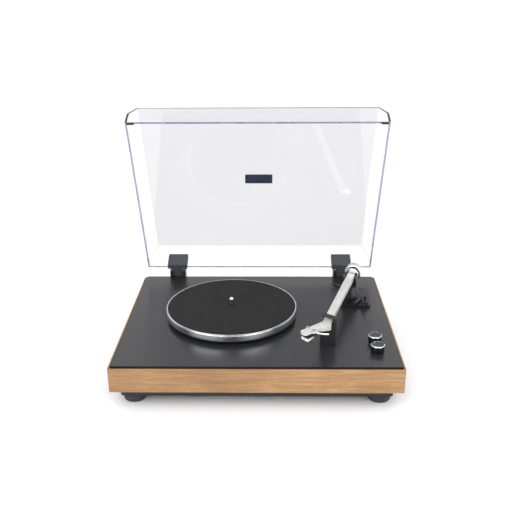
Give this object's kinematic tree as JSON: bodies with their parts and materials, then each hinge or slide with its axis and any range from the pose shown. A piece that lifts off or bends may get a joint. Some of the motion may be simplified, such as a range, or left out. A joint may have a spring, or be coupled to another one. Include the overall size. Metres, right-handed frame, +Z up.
{
  "type": "turntable record player",
  "caption": "Belt-drive record player with an oak-sided black plinth, aluminium platter, swept tonearm, control knobs and a clear dust cover hinged open",
  "frame": {"origin": "on the floor, under the middle of the object's box with the dust cover open", "axes": "+Z up, +Y from the front edge to the hinges, +X to the tonearm's side, which is also the longest extent"},
  "size_m": [0.42, 0.38, 0.3858],
  "materials": {
    "oiled_oak_veneer": "satin oiled veneer",
    "satin_black_plate": "satin black coating",
    "moulded_black": "moulded, lightly textured",
    "gloss_black": "moulded gloss",
    "rubber_black": "matte rubber",
    "felt_black": "pressed felt",
    "turned_aluminium": "turned and polished",
    "chrome": "polished",
    "steel": "plain steel",
    "brass": "turned brass",
    "silver_arm": "satin silver lacquer on aluminium",
    "white_plastic": "moulded",
    "red_plastic": "moulded",
    "clear_acrylic": "clear, polished",
    "circuit_board": "coated glass-fibre board",
    "navy_badge": "gloss badge plate"
  },
  "bodies": {
    "plinth_body": {"front_panel": "oiled_oak_veneer", "rear_panel": "oiled_oak_veneer", "left_panel": "oiled_oak_veneer", "right_panel": "oiled_oak_veneer", "top_plate": "satin_black_plate", "bottom_tray": "moulded_black", "foot_front_left": "rubber_black", "foot_front_right": "rubber_black", "foot_rear_left": "rubber_black", "foot_rear_right": "rubber_black", "amplifier_board": "circuit_board", "terminal_plate": "moulded_black", "dc_inlet": "moulded_black", "line_out_jack_left": "chrome", "line_out_jack_right": "chrome", "speaker_terminal_1": "gloss_black", "speaker_terminal_2": "red_plastic", "speaker_terminal_3": "gloss_black", "speaker_terminal_4": "red_plastic", "bearing_housing": "brass", "motor_bracket": "steel", "motor": "steel", "drive_belt": "rubber_black", "volume_potentiometer": "steel", "speed_switch": "steel", "tonearm_base": "moulded_black", "arm_rest_post": "moulded_black", "hinge_base_left": "moulded_black", "hinge_base_right": "moulded_black", "hinge_pin_left": "steel", "hinge_pin_right": "steel"},
    "platter_body": {"platter": "turned_aluminium", "platter_mat": "felt_black", "spindle": "chrome"},
    "pulley_body": {"motor_pulley": "brass"},
    "volume_body": {"volume_knob": "gloss_black", "volume_knob_ring": "chrome"},
    "speed_body": {"speed_knob": "gloss_black", "speed_knob_ring": "chrome"},
    "yoke_body": {"gimbal_yoke": "moulded_black"},
    "arm_body": {"tonearm": "silver_arm", "cartridge": "moulded_black", "stylus_holder": "white_plastic", "stylus": "turned_aluminium", "cartridge_screw_inner": "steel", "cartridge_screw_outer": "steel", "finger_lift": "white_plastic", "counterweight_rod": "steel"},
    "force_dial_body": {"tracking_force_dial": "turned_aluminium"},
    "counterweight_body": {"counterweight": "chrome"},
    "anti_skate_body": {"anti_skate_dial": "moulded_black"},
    "cue_lever_body": {"cue_lever": "moulded_black"},
    "lift_body": {"lift_platform": "moulded_black"},
    "clip_body": {"arm_rest_clip": "moulded_black"},
    "cover_body": {"dust_cover": "clear_acrylic", "badge_plate": "navy_badge", "cover_bumper_left": "rubber_black", "cover_bumper_right": "rubber_black", "hinge_clamp_left": "moulded_black", "hinge_clamp_right": "moulded_black"}
  },
  "joints": [
    {"name": "platter_spin", "type": "hinge", "parent": "plinth_body", "child": "platter_body", "pos_m": [-0.0425, -0.01767, 0.083], "axis": [0, 0, 1], "continuous": true},
    {"name": "pulley_spin", "type": "hinge", "parent": "plinth_body", "child": "pulley_body", "pos_m": [-0.09068, 0.05114, 0.072], "axis": [0, 0, 1], "continuous": true},
    {"name": "volume_turn", "type": "hinge", "parent": "plinth_body", "child": "volume_body", "pos_m": [0.177, -0.13597, 0.072], "axis": [0, 0, -1], "range_deg": [-60, 240]},
    {"name": "speed_turn", "type": "hinge", "parent": "plinth_body", "child": "speed_body", "pos_m": [0.177, -0.10647, 0.072], "axis": [0, 0, -1], "range_deg": [0, 60]},
    {"name": "arm_swing", "type": "hinge", "parent": "plinth_body", "child": "yoke_body", "pos_m": [0.1556, 0.05003, 0.104], "axis": [0, 0, -1], "range_deg": [0, 36]},
    {"name": "arm_lift", "type": "hinge", "parent": "yoke_body", "child": "arm_body", "pos_m": [0.1556, 0.05003, 0.104], "axis": [-0.9553, 0.2957, 0], "range_deg": [-1, 1]},
    {"name": "force_dial_turn", "type": "hinge", "parent": "arm_body", "child": "force_dial_body", "pos_m": [0.15947, 0.06254, 0.104], "axis": [0.2957, 0.9553, 0], "range_deg": [-180, 180]},
    {"name": "counterweight_slide", "type": "slide", "parent": "arm_body", "child": "counterweight_body", "axis": [0.2957, 0.9553, 0], "range_m": [-0.004, 0.002]},
    {"name": "anti_skate_turn", "type": "hinge", "parent": "plinth_body", "child": "anti_skate_body", "pos_m": [0.164, 0.01903, 0.0739], "axis": [0.5, 0.866, 0], "range_deg": [-135, 135]},
    {"name": "cue_lever_turn", "type": "hinge", "parent": "plinth_body", "child": "cue_lever_body", "pos_m": [0.1765, 0.01403, 0.074], "axis": [1, 0, 0], "range_deg": [0, 70]},
    {"name": "lift_platform_slide", "type": "slide", "parent": "plinth_body", "child": "lift_body", "axis": [0, 0, 1], "range_m": [-0.0025, 0]},
    {"name": "clip_turn", "type": "hinge", "parent": "plinth_body", "child": "clip_body", "pos_m": [0.11404, -0.11601, 0.1038], "axis": [0.2957, 0.9553, 0], "range_deg": [0, 115]},
    {"name": "cover_hinge", "type": "hinge", "parent": "plinth_body", "child": "cover_body", "pos_m": [0, 0.14463, 0.0707], "axis": [1, 0, 0], "range_deg": [0, 67.6]}
  ],
  "couplings": [
    {"joint": "pulley_spin", "follows": "platter_spin", "ratio": 9.72},
    {"joint": "cue_lever_turn", "follows": "lift_platform_slide", "rad_per_m": -488.69}
  ]
}
